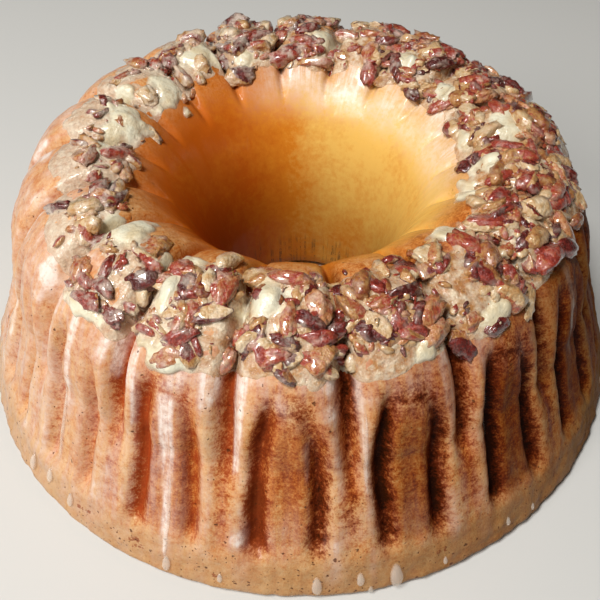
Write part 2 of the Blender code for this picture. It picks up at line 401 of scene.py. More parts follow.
def dark_stripes(points, angle, arc):
    """Where the crust is dark red, partly scorched and partly painted shadow: in the valleys, most in the
    left ones, the grooves and the arches.
    """
    offset = lobe_offset(angle, arc)
    closing = smooth_step(CLOSING_START, RECESS_TOP, arc)
    valley_at = between(VALLEY_ANGLE, VALLEY_TOP_ANGLE, closing)
    valley = 1.0 - smooth_step(0.0, STRIPE_REACH, np.abs(np.abs(offset) - valley_at))
    # Painted shadow: the right valleys' stripes grow darker towards the right, away from the light, and all
    # stripes are weaker on the lit left.
    right_valley = between(0.46, 0.90, smooth_step(-0.30, 0.40, np.cos(angle)))
    valley = valley * np.where(offset < 0.0, 1.0, right_valley)
    groove = 0.66 * (1.0 - smooth_step(0.0, STRIPE_REACH, 0.5 * FLUTE_PITCH - np.abs(offset)))
    groove = groove * (crown_share(arc) + 0.40 * low_share(arc))
    between_valleys = 1.0 - smooth_step(0.7 * VALLEY_ANGLE, 1.3 * VALLEY_ANGLE, np.abs(offset))
    arch = 0.46 * hump(arc - 0.078, 0.006) * between_valleys
    stripes = np.maximum(np.maximum(valley * recess_share(offset, arc), groove), arch)
    return stripes * (1.0 - 0.60 * pale_side(angle)) * (0.92 + 0.45 * lumps(points, 0.012, 12))


def streak_share(angle, arc):
    """Where white glaze ran down the ribs, whitened partly as a painted highlight: broad at the top of each
    streak and pointed at its foot.
    """
    share = np.zeros_like(angle)
    for top_degrees, low_degrees, top, low, width, strength in STREAKS:
        along = (top / 1000.0 - arc) / ((top - low) / 1000.0)
        centre = between(front_angle(top_degrees), front_angle(low_degrees), along)
        away = np.abs((angle - centre + math.pi) % (2.0 * math.pi) - math.pi)
        half = math.radians(0.5 * width) * np.clip(1.0 - 0.8 * along, 0.15, 1.0)
        here = (1.0 - smooth_step(0.35, 1.30, away / half)) * smooth_step(-0.04, 0.06, along)
        share = np.maximum(share, strength * here * (1.0 - smooth_step(0.9, 1.0, along)))
    return share


def glaze_film(points, angle, arc):
    """How much milky glaze dried on the crust, with painted sheen and highlights: streaks, ribs, the dome's
    edge, all of the left side and the hole's back right rim.
    """
    offset = lobe_offset(angle, arc)
    hollow = np.maximum(valley_share(offset, arc), groove_share(offset) * crown_share(arc))
    above_band = smooth_step(-0.010, 0.030, arc) * (1.0 - smooth_step(0.090, 0.110, arc))
    # Painted reflection: the broad film is whitest on the left, the side that faces the light.
    to_left = smooth_step(0.10, 0.85, np.cos(angle - front_angle(-80.0)))
    bare_hollow = between(1.0, 0.25, pale_side(angle))
    thickness = 0.68 + 0.5 * lumps(points, 0.020, 8) + 0.16 * (1.0 - smooth_step(0.040, 0.070, arc))
    broad = np.minimum(to_left * above_band * (1.0 - bare_hollow * hollow) * thickness, 0.85)
    # Painted sheen: the film on the ribs, the dome's edge and the foot is strongest where they face the
    # light.
    to_light = smooth_step(-0.30, 0.70, np.cos(angle - front_angle(-45.0)))
    rib = hump(np.abs(offset) - RIB_ANGLE, RIB_WIDTH) * above_band
    dome = smooth_step(0.066, 0.084, arc) * (1.0 - smooth_step(0.112, 0.124, arc)) * (1.0 - hollow)
    foot = smooth_step(0.014, 0.022, arc) * (1.0 - smooth_step(0.026, 0.046, arc)) * (1.0 - hollow)
    on_ribs = to_light * (0.62 * rib + 0.80 * dome + 0.40 * foot) * (0.8 + 1.0 * lumps(points, 0.007, 10))
    # Painted highlight on the back right of the hole's rim.
    inner_rim = smooth_step(0.118, 0.128, arc) * (1.0 - smooth_step(0.140, 0.160, arc))
    to_back_right = smooth_step(0.2, 0.9, np.cos(angle - front_angle(138.0)))
    rim_highlight = inner_rim * to_back_right * (1.05 + 0.8 * lumps(points, 0.010, 9))
    film = np.maximum(np.maximum(broad, on_ribs), np.maximum(rim_highlight, streak_share(angle, arc)))
    return np.clip(film, 0.0, 1.5)


def hole_light_and_shade(angle, arc):
    """How golden the funnel's wall is, as painted light and shade: from 0, deep orange, low down and on the
    shaded left, to 1, gold, on the lit right.
    """
    to_right = smooth_step(-0.7, 0.8, np.cos(angle - front_angle(105.0)))
    low = smooth_step(0.165, 0.225, arc)
    return np.clip(to_right * (1.0 - 0.35 * low), 0.0, 1.0)


def painted_shade(angle, arc):
    """Painted shade: where the whole crust is darker, on the right, most in its recesses, and low down in the
    hole.
    """
    below_nuts = 1.0 - smooth_step(0.100, 0.118, arc)
    on_right = smooth_step(0.10, 0.95, np.cos(angle - front_angle(72.0))) * below_nuts
    inside = inside_share(lobe_offset(angle, arc), arc)
    low_down = 0.5 * (1.0 - smooth_step(BAND_TOP, RELIEF_FULL, arc))
    sheltered = np.maximum(np.maximum(inside, low_down), smooth_step(0.5, 0.95, np.cos(angle)))
    to_back = smooth_step(-0.5, 1.0, np.cos(angle - front_angle(170.0)))
    in_hole = smooth_step(0.150, 0.200, arc) * (0.88 - 0.25 * to_back)
    return np.clip(on_right * (0.22 + 0.78 * sheltered) + in_hole, 0.0, 1.0)


def rough_share(angle, arc):
    """Where the plain band at the foot is rough and spotted."""
    share = np.zeros_like(angle)
    for degrees, middle, width, height in ROUGH_SPOTS:
        turn = (angle - front_angle(degrees) + math.pi) % (2.0 * math.pi) - math.pi
        away = np.hypot(turn * BASE_RADIUS / (0.0005 * width), (arc - middle / 1000.0) / (0.0005 * height))
        share = np.maximum(share, 1.0 - smooth_step(0.3, 1.1, away))
    return share


def baked_ring(material):
    """The ring itself: its section as a loop of points, spun round and pressed with the flutes."""
    arcs = row_arcs()
    ring, points, angle, row = spun_ring(np.stack(outline_at(arcs), 1), COLUMNS)
    arc = arcs[row]
    pressed = surface(angle, arc)[0]
    pressed = surface(angle, arc, fine_relief(pressed, arc))[0]
    moving = (arc > SECTION_ARCS[1]) & (arc < SECTION_ARCS[-2])
    points[moving] = pressed[moving]
    set_points(ring.data, points)

    attributes = {
        "brown": browning(points, angle, arc),
        "gold": smooth_step(0.122, 0.150, arc),
        "tone": hole_light_and_shade(angle, arc),
        # Painted shade, multiplied into the crust's colour.
        "dark": painted_shade(angle, arc),
        "milk": glaze_film(points, angle, arc),
        "band": 1.0 - smooth_step(0.012, 0.024, arc),
        "stripe": dark_stripes(points, angle, arc),
        # Painted shadow: near 1 over the right half, where the dark red stripes are deepened as shade.
        "burn": smooth_step(-0.36, 0.14, np.cos(angle)),
        "rough": rough_share(angle, arc),
        "foot": smooth_step(0.208, 0.216, arc),
        "flow": np.stack([np.cos(angle) * 0.1, np.sin(angle) * 0.1, arc * 0.08], 1),
    }
    for name, values in attributes.items():
        add_attribute(ring.data, name, values)
    finish_piece(ring, "baked_ring", [material])
    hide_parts("cake")
    return ring


# Chopped nuts

def milkiness_and_sheen(angle):
    """How milky the glaze over the nuts is, partly glaze and partly a painted reflection of the light: most
    at the back and on the left, least on the right.
    """
    return 0.5 + 0.5 * math.cos(angle - front_angle(-115.0))


class Pile:
    """Gathers the faces of many pieces into one mesh."""

    def __init__(self):
        self.points, self.faces, self.skins, self.tints, self.milk_sheen_values = [], [], [], [], []
        self.count = 0

    def add(self, points, faces, skin, tint, angle):
        self.points.append(points)
        self.faces.append(np.asarray(faces) + self.count)
        self.skins.append(skin)
        self.tints.append(np.full(len(points), tint))
        self.milk_sheen_values.append(np.full(len(points), milkiness_and_sheen(angle)))
        self.count += len(points)

    def piece(self, name, material):
        mesh = bpy.data.meshes.new(name)
        mesh.from_pydata(np.concatenate(self.points).tolist(), [], np.concatenate(self.faces).tolist())
        add_attribute(mesh, "skin", np.concatenate(self.skins))
        add_attribute(mesh, "tint", np.concatenate(self.tints))
        add_attribute(mesh, "milk", np.concatenate(self.milk_sheen_values))
        mesh.shade_smooth()
        obj = bpy.data.objects.new(name, mesh)
        bpy.context.scene.collection.objects.link(obj)
        return finish_piece(obj, name, [material])


def shape_arrays(shape):
    shape.verts.ensure_lookup_table()
    points = np.array([vertex.co[:] for vertex in shape.verts])
    faces = np.array([[vertex.index for vertex in face.verts] for face in shape.faces])
    return points, faces


def rough_lump(draw, rounded, size_limits):
    """A chopped piece with as few corners as in the solid, and its size."""
    shape = bmesh.new()
    if rounded:
        bmesh.ops.create_icosphere(shape, subdivisions=1, radius=ROUNDED_NUT_RADIUS)
    else:
        bmesh.ops.create_cube(shape, size=BLOCK_NUT_SIDE)
    for vertex in shape.verts:
        vertex.co += NUT_ROUGHNESS * Vector([draw.uniform(-1.0, 1.0) for _ in range(3)])
    size = [draw.uniform(*limits) for limits in size_limits]
    return shape, size


def broken(points, carve, count, limits):
    """Flattens a lump against a few planes, as a knife leaves it, and says which points lie on a cut."""
    cut = np.zeros(len(points), bool)
    for _ in range(count):
        facing = np.array([carve.gauss(0.0, 1.0) for _ in range(3)])
        facing /= np.linalg.norm(facing)
        beyond = points @ facing - carve.uniform(*limits)
        over = beyond > 0.0
        points[over] -= np.outer(beyond[over], facing)
        cut |= over
    return cut


def carved_nut(shape, size, rounded, carve, cuts):
    """Makes a rough lump finer, breaks and wrinkles it, and says where its skin is, from 0 to 1."""
    smoothness = 0.45 if rounded else 0.35
    bmesh.ops.subdivide_edges(shape, edges=shape.edges, cuts=cuts, use_grid_fill=True, smooth=smoothness)
    bmesh.ops.triangulate(shape, faces=shape.faces)
    bmesh.ops.recalc_face_normals(shape, faces=shape.faces)
    shape.verts.index_update()
    points, faces = shape_arrays(shape)
    shape.free()

    shift = Vector([carve.uniform(0.0, 50.0) for _ in range(3)])
    bumps = np.array([noise.noise(Vector(point) * 5.0 + shift) for point in points])
    if rounded:
        around = np.arctan2(points[:, 2], points[:, 1])
        phase = carve.uniform(0.0, 6.0)
        ridges = np.abs(np.sin(2.5 * around + phase + 1.0 * np.sin(4.0 * points[:, 0] + phase)))
        points *= (0.88 + 0.20 * ridges + 0.20 * bumps)[:, None]
        cut = broken(points, carve, carve.choice((0, 1, 1, 2)), (0.20, 0.34))
        skin = 1.0 - cut
    else:
        broken(points, carve, 1, (0.28, 0.38))
        points *= (1.0 + 0.26 * bumps)[:, None]
        skin_side = np.array([carve.gauss(0.0, 0.6), carve.gauss(0.0, 1.0), carve.gauss(0.0, 1.0)])
        skin_side /= np.linalg.norm(skin_side)
        facing = points @ skin_side / (np.linalg.norm(points, axis=1) + 1e-9)
        edge = carve.choice((0.05, 0.35, 0.65))
        skin = smooth_step(edge - 0.2, edge + 0.2, facing)
    return points * np.array(size), faces, skin


def placed(points, place, out, spin, tilt):
    upright = Vector(out).to_track_quat("Z", "Y").to_matrix()
    turn = upright @ Matrix.Rotation(spin, 3, "Z") @ Matrix.Rotation(tilt, 3, "X")
    return points @ np.array(turn).T + np.asarray(place)


class Heap:
    """How high the nuts already lie over the crust, on a grid of angle and outline length."""

    CELL = 0.0006
    RADIUS = 0.08
    FIRST_ARC = 0.075
    LAST_ARC = 0.160

    def __init__(self):
        self.across = int(2.0 * math.pi * self.RADIUS / self.CELL)
        self.along = int((self.LAST_ARC - self.FIRST_ARC) / self.CELL)
        self.height = np.zeros((self.across, self.along))

    def footprint(self, angle, arc, reach):
        cells = max(int(reach / self.CELL), 1)
        column = int((angle % (2.0 * math.pi)) / (2.0 * math.pi) * self.across)
        row = int((arc - self.FIRST_ARC) / self.CELL)
        steps = np.arange(-cells, cells + 1)
        columns = (column + steps) % self.across
        rows = np.clip(row + steps, 0, self.along - 1)
        away = np.hypot(*np.meshgrid(steps, steps, indexing="ij"))
        return np.ix_(columns, rows), away / (cells + 0.5)

    def level(self, angle, arc, reach):
        cells, away = self.footprint(angle, arc, reach)
        return float(np.mean(self.height[cells][away <= 1.0]))

    def add(self, angle, arc, reach, top):
        cells, away = self.footprint(angle, arc, reach)
        cap = np.where(away <= 1.0, top * np.sqrt(np.clip(1.0 - away * away, 0.0, 1.0)), 0.0)
        self.height[cells] = np.maximum(self.height[cells], cap)

    def draped(self, angle, arc, passes=4):
        """The heap's height where a thick liquid would settle over it."""
        soft = self.height
        for _ in range(passes):
            soft = (soft + np.roll(soft, 1, 0) + np.roll(soft, -1, 0)) / 3.0
            soft = (soft + np.roll(soft, 1, 1) + np.roll(soft, -1, 1)) / 3.0
        column = ((angle % (2.0 * math.pi)) / (2.0 * math.pi) * self.across).astype(int) % self.across
        row = np.clip(((arc - self.FIRST_ARC) / self.CELL).astype(int), 0, self.along - 1)
        return soft[column, row]


def front_pull(angle):
    """How much nearer to the outer side the nuts' inner edge lies here: all of it at the front."""
    return FRONT_PULL * smooth_step(0.0, 0.8, -np.sin(angle))


def bare_width(angle):
    """How much of the crown's outer part has no nuts here, in metres along the outline."""
    return BARE_WIDTH * smooth_step(*BARE_SHARES, np.cos(angle - BARE_SIDE))


def heaped_share(arc):
    """How much of the heap's height counts here: less on the steep outer side, where nothing piles up."""
    return between(0.35, 1.0, smooth_step(0.086, 0.102, arc))


def large_nuts(heap, material):
    """The pieces that the solid holds, at its places, carved finer."""
    draw = random.Random(NUT_SEED)
    carve = random.Random(SEED)
    pile = Pile()
    for row, row_arc in enumerate(np.linspace(NUT_FIRST_ARC, NUT_LAST_ARC, NUT_ROWS)):
        count = int(2.0 * math.pi * float(outline_at(row_arc)[0]) / NUT_SPACING)
        for place in range(count):
            stagger = 0.5 * (row % 2) + draw.uniform(-NUT_DRIFT, NUT_DRIFT)
            angle = 2.0 * math.pi * (place + stagger) / count
            pull = row / (NUT_ROWS - 1) * front_pull(angle)
            arc = row_arc - pull + draw.uniform(-NUT_ARC_DRIFT, NUT_ARC_DRIFT)
            chance = MEAN_CHANCE + CHANCE_SWING * math.cos(angle - THICK_SIDE)
            if draw.random() > chance or arc < NUT_FIRST_ARC - NUT_ARC_DRIFT + bare_width(angle):
                continue
            rounded = draw.random() < ROUNDED_NUT_SHARE
            shape, size = rough_lump(draw, rounded, (NUT_LENGTHS, NUT_WIDTHS, NUT_THICKNESSES))
            lift = size[2] * draw.uniform(*NUT_LIFTS)
            spin = draw.uniform(0.0, math.pi)
            tilt = draw.uniform(-NUT_TILT, NUT_TILT)
            points, faces, skin = carved_nut(shape, size, rounded, carve, 5)
            spot, out = surface(np.array(angle), np.array(arc), lift)
            pile.add(placed(points, spot, out, spin, tilt), faces, skin, carve.random(), angle)
            heap.add(angle, arc, 0.2 * (size[0] + size[1]), lift + 0.5 * size[2])
    return pile.piece("large_nuts", material)


def heap_density(angle, arc):
    """How likely a small piece is to lie here: in clusters, fewer on the left and few in the puddles."""
    inner_edge = HEAP_INNER_EDGE - front_pull(angle)
    spot = surface(np.array([angle]), np.array([arc]))[0]
    outer_edge = HEAP_OUTER_EDGE + bare_width(angle) + 0.006 * float(lumps(spot, 0.016, 25)[0])
    across = smooth_step(outer_edge, outer_edge + 0.008, arc)
    across *= 1.0 - smooth_step(inner_edge - 0.008, inner_edge + 0.004, arc)
    thick = 0.70 + 0.28 * math.cos(angle - THICK_SIDE)
    cluster = 0.12 + 0.88 * smooth_step(-0.35, 0.05, float(lumps(spot, 0.012, 21)[0]))
    in_pool = float(pool_share(np.array([angle]), np.array([arc]))[0][0])
    on_lobe = 1.0 - 0.45 * float(groove_share(lobe_offset(angle, arc)))
    return across * thick * cluster * on_lobe * (1.0 - in_pool) ** 2


def small_pieces(heap, name, count, lengths, kinds, cuts, sink, seed, material):
    """Smaller pieces strewn over the crown, each sunk a little into what already lies there."""
    draw = random.Random(seed)
    models = []
    for index in range(kinds):
        rounded = index % 2 == 0
        shape, size = rough_lump(draw, rounded, SMALL_PIECE_SHAPE)
        models.append(carved_nut(shape, size, rounded, draw, cuts))
    sizes = sorted((draw.uniform(*lengths) for _ in range(count)), reverse=True)
    pile = Pile()
    for length in sizes:
        while True:
            angle = draw.uniform(-math.pi, math.pi)
            arc = draw.uniform(HEAP_FIRST_ARC, HEAP_LAST_ARC)
            if draw.random() < heap_density(angle, arc):
                break
        points, faces, skin = draw.choice(models)
        level = heaped_share(arc) * heap.level(angle, arc, 0.4 * length)
        lift = max(level - sink * length, 0.0) + 0.08 * length
        spot, out = surface(np.array(angle), np.array(arc), lift)
        turned = placed(points * length, spot, out, draw.uniform(0.0, 6.28), draw.uniform(-0.7, 0.7))
        pile.add(turned, faces, skin, draw.random(), angle)
        heap.add(angle, arc, 0.45 * length, lift + 0.22 * length)
    return pile.piece(name, material)


# Glaze

def pool_share(angle, arc):
    """How far inside a puddle of cream glaze each place lies, from 0 to 1, and how high it stands there."""
    inside = np.zeros(len(angle))
    height = np.zeros(len(angle))
    place = surface(angle, arc)[0]
    ragged = 1.0 + 0.62 * lumps(place, 0.0090, 31) + 0.42 * lumps(place, 0.0036, 32)
    for degrees, middle, width, length in PUDDLES:
        radius = float(outline_at(middle / 1000.0)[0])
        turn = (angle - front_angle(degrees) + math.pi) % (2.0 * math.pi) - math.pi
        across = turn * radius / (0.0005 * width)
        along = (arc - middle / 1000.0) / (0.0005 * length)
        away = np.hypot(across, along) * ragged
        inside = np.maximum(inside, 1.0 - smooth_step(0.45, 1.25, away))
        height = np.maximum(height, np.sqrt(np.clip(1.15 - away * away, 0.0, 1.0)))
    return inside, height


def settled_glaze(heap, material):
    """One closed coat of glaze over the crown: it dips under the crust where there is none."""
    top = np.linspace(*GLAZE_TOP_ARCS, GLAZE_TOP_ROWS)
    under = np.linspace(*GLAZE_UNDER_ARCS, GLAZE_UNDER_ROWS)
    arcs = np.concatenate([top, under])
    radius, height = outline_at(arcs)
    out, up = outline_normal(arcs)
    depth = np.where(np.arange(len(arcs)) < len(top), 0.0, -0.004)
    loop = np.stack([radius + out * depth, height + up * depth], 1)
    coat, points, angle, row = spun_ring(loop, GLAZE_COLUMNS)
    arc = arcs[row]
    on_top = row < len(top)
    place = surface(angle, arc)[0]
    patches = lumps(place, 0.012, 21) + 0.6 * lumps(place, 0.0045, 22)
    curds = lumps(place, 0.0019, 23)
    right_more = 0.12 * np.cos(angle - THICK_SIDE)
    inner_edge = GLAZE_INNER_EDGE - 1.2 * front_pull(angle)
    outer_edge = GLAZE_OUTER_EDGE + 0.8 * bare_width(angle) + 0.005 * lumps(place, 0.014, 25)
    zone = smooth_step(outer_edge, outer_edge + 0.009, arc)
    zone *= 1.0 - smooth_step(inner_edge - 0.006, inner_edge + 0.006, arc)
    wet = smooth_step(0.12, 0.74, zone * (0.86 + right_more) + 0.50 * patches * np.sqrt(zone))
    draped = heaped_share(arc) * heap.draped(angle, arc)
    inside, pool = pool_share(angle, arc)
    lift = between(GLAZE_SUNK, 0.0003 + 0.50 * draped + 0.00022 * curds, wet)
    in_pool = 0.0007 + 0.0008 * pool + 0.9 * draped + 0.00016 * curds
    lift = np.where(inside > 0.0, np.maximum(lift, between(GLAZE_SUNK, in_pool, inside)), lift)
    points = surface(angle, arc, np.where(on_top, lift, GLAZE_UNDERSIDE))[0]
    set_points(coat.data, points)
    add_attribute(coat.data, "cream", inside * np.clip(1.0 + 0.3 * patches, 0.0, 1.0))
    add_attribute(coat.data, "thin", 1.0 - np.maximum(wet, inside))
    # Painted reflection: the glaze is whiter on the left, the side that faces the light.
    add_attribute(coat.data, "milk", smooth_step(0.0, 1.0, np.cos(angle - front_angle(-95.0))))
    return finish_piece(coat, "settled_glaze", [material])


def glaze_patch(shape_noise, angle, arc, width, length, thickness, seed, levels=4):
    """A closed bead or run on the crust: a ball flattened onto the surface, wider at its foot."""
    shape = bmesh.new()
    bmesh.ops.create_icosphere(shape, subdivisions=levels, radius=1.0)
    shape.verts.index_update()
    points, faces = shape_arrays(shape)
    shape.free()
    radius = float(outline_at(arc)[0])
    bent = shape_noise * lumps(np.stack([points[:, 1] * 0.0, points[:, 1], points[:, 1] * 0.0], 1), 0.6, seed)
    swollen = 1.0 - 0.2 * points[:, 1]
    place_angle = angle + (points[:, 0] * swollen + bent) * 0.5 * width / radius
    place_arc = arc + points[:, 1] * 0.5 * length
    dome = np.where(points[:, 2] > 0.0, points[:, 2], 0.6 * points[:, 2])
    placed_points = surface(place_angle, place_arc, thickness * dome * swollen)[0]
    return placed_points, faces, np.clip(1.0 - points[:, 2] * 1.6, 0.0, 1.0)


def glaze_piece(name, patches, material):
    """Joins beads or runs into one piece, with an attribute that is 1 at their thin edges."""
    points, faces, edges, count = [], [], [], 0
    for patch_points, patch_faces, edge in patches:
        points.append(patch_points)
        faces.append(patch_faces + count)
        edges.append(edge)
        count += len(patch_points)
    mesh = bpy.data.meshes.new(name)
    mesh.from_pydata(np.concatenate(points).tolist(), [], np.concatenate(faces).tolist())
    add_attribute(mesh, "thin", np.concatenate(edges))
    mesh.shade_smooth()
    obj = bpy.data.objects.new(name, mesh)
    bpy.context.scene.collection.objects.link(obj)
    return finish_piece(obj, name, [material])


# Each puddle: angle from the front in degrees, outline length, width and length in millimetres
PUDDLES = (
    (-143, 123, 19, 14), (-125, 129, 15, 17), (-101, 127, 22, 15), (-113, 119, 12, 9), (-84, 122, 9, 8),
    (-69, 124, 10, 8), (-47.5, 119, 18, 22), (-30, 120, 18, 10), (-27, 107, 8, 12), (-7, 112, 13, 18),
    (-22.5, 88.5, 15, 12), (-41.5, 90, 14, 8), (22, 92, 8, 10), (38, 92, 15, 9), (43, 124, 18, 11),
    (67, 132, 18, 11), (76, 124, 11, 9), (94, 118, 17, 13), (94, 133, 10, 6), (120, 128, 10, 10),
    (141, 124, 12, 9), (172, 120, 14, 12), (-158, 130, 9, 9),
)
# Each rough patch at the foot: angle from the front, outline length, width and height in millimetres
ROUGH_SPOTS = (
    (-36.5, 12, 13, 7), (-26.0, 12, 11, 8), (-12.5, 9, 7, 5), (22, 13, 9, 5), (46, 12, 10, 6),
    (78, 11, 12, 7), (112, 13, 10, 6), (151, 11, 12, 7), (-170, 12, 9, 6), (-130, 13, 12, 7),
    (-88, 11, 11, 6),
)
# Each white streak of glaze, partly a painted highlight: angles from the front at its top and foot, outline
# lengths there in millimetres,
# width in degrees, and strength
STREAKS = (
    (-9.3, -10.4, 106, 48, 4.8, 1.4), (-22.0, -21.0, 79, 8, 5.0, 1.3), (-34.0, -33.0, 100, 70, 4.2, 1.2),
    (-29.0, -28.0, 106, 56, 3.6, 1.2), (9.6, 10.5, 96, 46, 2.4, 1.1), (1.0, 1.4, 66, 48, 1.6, 0.8),
    (-52.0, -51.0, 102, 36, 5.0, 1.2), (-42.0, -44.0, 96, 44, 4.0, 1.2), (-70.0, -69.0, 100, 32, 5.0, 1.2),
    (-88.0, -90.0, 98, 46, 4.4, 1.1), (-110.0, -110.0, 100, 40, 4.6, 1.0), (32.0, 33.0, 92, 50, 1.6, 0.8),
    (24.0, 24.6, 88, 64, 1.8, 0.7), (58.0, 58.0, 94, 46, 2.4, 0.8), (95.0, 96.0, 96, 52, 3.2, 0.8),
    (140.0, 141.0, 98, 44, 3.6, 0.9), (172.0, 172.0, 100, 48, 4.2, 1.0), (-148.0, -148.0, 98, 42, 4.0, 0.95),
)
# Each clear run: angle from the front, upper and lower outline length and width in millimetres
RUNS = (
    (-20.9, 46, 10, 1.7), (10.4, 76, 44, 1.3), (-44.0, 60, 22, 1.6), (33.5, 74, 46, 1.2),
    (-70.5, 52, 20, 1.6), (62.0, 70, 38, 1.4), (118.0, 72, 36, 1.5), (-125.0, 66, 30, 1.6),
    (178.0, 60, 24, 1.5),
)
# Each bead at the foot: angle from the front, outline length and width in millimetres
BEADS = (
    (-20.5, 9, 3.0), (-39.5, 12, 2.8), (-50, 11, 3.4), (-45, 14, 3.0), (-12, 9, 1.8), (2.5, 9, 3.4),
    (9, 10, 2.6), (14.5, 9, 4.4), (10.5, 4, 2.0), (22.5, 8, 1.6), (34.5, 10, 1.8), (40, 8, 1.6),
    (-75, 10, 2.6), (-97, 12, 2.4), (70, 9, 2.2), (120, 10, 3.0), (165, 9, 2.6), (-150, 11, 2.8),
)


def runs(material):
    patches = []
    for index, (degrees, top, low, width) in enumerate(RUNS):
        middle, length = 0.5 * (top + low) / 1000.0, (top - low) / 1000.0
        size = (width / 1000.0, length, RUN_THICKNESS)
        patches.append(glaze_patch(0.5, front_angle(degrees), middle, *size, index + 40))
    return glaze_piece("glaze_runs", patches, material)


def beads(material):
    patches = []
    for index, (degrees, arc, width) in enumerate(BEADS):
        size = [share * width / 1000.0 for share in BEAD_SHAPE]
        patches.append(glaze_patch(0.1, front_angle(degrees), arc / 1000.0, *size, index + 70, 3))
    return glaze_piece("glaze_beads", patches, material)


# Materials

class Nodes:
    """Adds and joins the nodes of one material or group."""

    def __init__(self, tree):
        self.tree = tree

    def add(self, kind, **inputs):
        node = self.tree.nodes.new(kind)
        for name, value in inputs.items():
            self.set(node, name.replace("_", " "), value)
        return node

    def set(self, node, name, value):
        socket = node.inputs[int(name)] if name.isdigit() else node.inputs[name]
        if isinstance(value, bpy.types.NodeSocket):
            self.tree.links.new(value, socket)
        else:
            socket.default_value = value

    def math(self, operation, first, second=0.0, clamp=False):
        node = self.tree.nodes.new("ShaderNodeMath")
        node.operation = operation
        node.use_clamp = clamp
        self.set(node, "0", first)
        self.set(node, "1", second)
        return node.outputs[0]

    def times(self, first, second, clamp=False):
        return self.math("MULTIPLY", first, second, clamp)

    def plus(self, first, second, clamp=False):
        return self.math("ADD", first, second, clamp)

    def rest(self, value, clamp=False):
        """What is left of 1 after this value."""
        return self.math("SUBTRACT", 1.0, value, clamp)

    def mix(self, share, first, second, blend="MIX"):
        node = self.tree.nodes.new("ShaderNodeMix")
        node.data_type = "RGBA"
        node.blend_type = blend
        self.set(node, "0", share)
        self.set(node, "6", first)
        self.set(node, "7", second)
        return node.outputs[2]

    def ramp(self, share, stops):
        node = self.tree.nodes.new("ShaderNodeValToRGB")
        elements = node.color_ramp.elements
        while len(elements) < len(stops):
            elements.new(0.5)
        for element, (position, colour) in zip(elements, stops):
            element.position = position
            element.color = (*colour, 1.0)
        self.set(node, "0", share)
        return node.outputs[0]

    def steps(self, value, low, high, to_low=0.0, to_high=1.0):
        node = self.tree.nodes.new("ShaderNodeMapRange")
        for name, number in zip(("0", "1", "2", "3", "4"), (value, low, high, to_low, to_high)):
            self.set(node, name, number)
        return node.outputs[0]

    def attribute(self, name, output="Fac"):
        node = self.tree.nodes.new("ShaderNodeAttribute")
        node.attribute_name = name
        return node.outputs[output]

    def noise(self, vector, scale, detail=3.0, roughness=0.55):
        node = self.add("ShaderNodeTexNoise", Vector=vector, Scale=scale, Detail=detail, Roughness=roughness)
        return node.outputs["Fac"]

    def bump(self, shader, height, strength, distance):
        node = self.add("ShaderNodeBump", Height=height, Strength=strength, Distance=distance)
        self.set(shader, "Normal", node.outputs["Normal"])


def new_material(name):
    material = bpy.data.materials.new(name)
    material.use_nodes = True
    nodes = Nodes(material.node_tree)
    shader = material.node_tree.nodes["Principled BSDF"]
    return material, nodes, shader


def set_values(shader, **values):
    """Sets inputs that are the same all over a material."""
    for name, value in values.items():
        shader.inputs[name.replace("_", " ")].default_value = value


def object_coordinates(nodes):
    return nodes.add("ShaderNodeTexCoord").outputs["Object"]


def pore_group():
    """Small dark holes in some cells of a web, at the size that the crumb shows."""
    group = bpy.data.node_groups.new("pores", "ShaderNodeTree")
    group.interface.new_socket("Vector", in_out="INPUT", socket_type="NodeSocketVector")
    group.interface.new_socket("Scale", in_out="INPUT", socket_type="NodeSocketFloat")
    group.interface.new_socket("Share", in_out="INPUT", socket_type="NodeSocketFloat")
    group.interface.new_socket("Pores", in_out="OUTPUT", socket_type="NodeSocketFloat")
    nodes = Nodes(group)
    inputs = group.nodes.new("NodeGroupInput")
    outputs = group.nodes.new("NodeGroupOutput")
    warp = nodes.add("ShaderNodeTexNoise", Vector=inputs.outputs["Vector"], Scale=900.0, Detail=1.0)
    bent = nodes.add("ShaderNodeVectorMath")
    bent.operation = "MULTIPLY_ADD"
    nodes.set(bent, "0", warp.outputs["Color"])
    nodes.set(bent, "1", (0.0012, 0.0012, 0.0012))
    nodes.set(bent, "2", inputs.outputs["Vector"])
    cells = nodes.add("ShaderNodeTexVoronoi", Vector=bent.outputs[0], Scale=inputs.outputs["Scale"])
    chosen = nodes.add("ShaderNodeSeparateColor", Color=cells.outputs["Color"])
    few = nodes.math("LESS_THAN", chosen.outputs["Red"], inputs.outputs["Share"])
    size = nodes.steps(chosen.outputs["Green"], 0.0, 1.0, 0.10, 0.34)
    inside = nodes.math("SUBTRACT", size, cells.outputs["Distance"])
    soft = nodes.times(inside, 9.0, clamp=True)
    group.links.new(nodes.times(soft, few), outputs.inputs["Pores"])
    return group


def placed_pores(nodes, pores, place, scale, share):
    small = nodes.tree.nodes.new("ShaderNodeGroup")
    small.node_tree = pores
    nodes.set(small, "Vector", place)
    nodes.set(small, "Scale", scale)
    nodes.set(small, "Share", share)
    return small.outputs["Pores"]


class CrustInputs:
    """The attributes and noises that the crust's colours and bump read."""

    def __init__(self, nodes):
        self.place = object_coordinates(nodes)
        self.flow = nodes.attribute("flow", "Vector")
        for name in ("brown", "gold", "tone", "dark", "milk", "band", "stripe", "burn", "rough", "foot"):
            setattr(self, name, nodes.attribute(name))
        self.mottle = nodes.noise(self.place, 380.0, 5.0, 0.7)
        self.grain = nodes.noise(self.place, 1250.0, 3.0, 0.7)
        self.streak = nodes.noise(self.flow, 420.0, 4.0, 0.65)
        self.patch = nodes.noise(self.place, 70.0, 3.0, 0.5)


